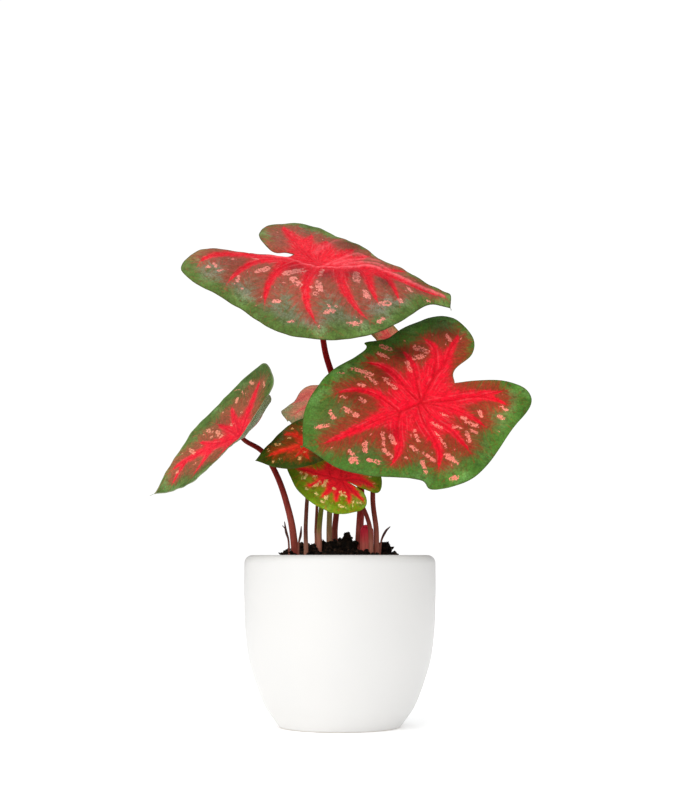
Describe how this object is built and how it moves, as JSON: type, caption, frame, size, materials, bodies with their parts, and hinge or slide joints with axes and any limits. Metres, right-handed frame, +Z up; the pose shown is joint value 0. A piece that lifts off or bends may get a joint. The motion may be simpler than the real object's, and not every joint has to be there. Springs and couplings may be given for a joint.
{
  "type": "potted caladium plant",
  "caption": "Caladium with large heart-shaped green leaves marked with red veins, on slender stems, growing in a round white ceramic pot.",
  "frame": {"origin": "centre of the pot's flat underside, on the surface it stands on", "axes": "+Z up, -Y towards the front of the pot as the picture shows it, +X to the viewer's right"},
  "size_m": [0.274, 0.1747, 0.3828],
  "materials": {
    "pot": "satin white glaze",
    "soil": "damp crumbly potting soil",
    "tuber": "rough brown skin",
    "blade_top": "satin leaf, green edge and red veins",
    "blade_right": "satin leaf, green edge and red veins",
    "blade_left": "satin leaf, green edge and red veins",
    "blade_small_left": "satin leaf, green edge and red veins",
    "blade_small_low": "satin leaf, green edge and red veins",
    "blade_behind_left": "satin leaf, green edge and red veins",
    "blade_behind_right": "satin leaf, green edge and red veins",
    "blade_back": "satin leaf, green edge and red veins",
    "stem_top": "smooth dark red stem",
    "stem_right": "smooth dark red stem",
    "stem_left": "smooth dark red stem",
    "stem_small_left": "smooth dark red stem",
    "stem_small_low": "smooth dark red stem",
    "stem_behind_left": "smooth olive stem",
    "stem_behind_right": "smooth olive stem",
    "stem_back": "smooth dark red stem",
    "rolled_leaf": "smooth olive stem",
    "new_shoot": "smooth pink sheath",
    "sprout_left": "dried, dull",
    "sprout_middle": "dried, dull",
    "sprout_right": "dried, dull"
  },
  "bodies": {
    "root": {"pot": "pot", "soil": "soil", "tuber": "tuber", "blade_top": "blade_top", "blade_right": "blade_right", "blade_left": "blade_left", "blade_small_left": "blade_small_left", "blade_small_low": "blade_small_low", "blade_behind_left": "blade_behind_left", "blade_behind_right": "blade_behind_right", "blade_back": "blade_back", "stem_top": "stem_top", "stem_right": "stem_right", "stem_left": "stem_left", "stem_small_left": "stem_small_left", "stem_small_low": "stem_small_low", "stem_behind_left": "stem_behind_left", "stem_behind_right": "stem_behind_right", "stem_back": "stem_back", "rolled_leaf": "rolled_leaf", "new_shoot": "new_shoot", "sprout_left": "sprout_left", "sprout_middle": "sprout_middle", "sprout_right": "sprout_right"}
  },
  "joints": []
}
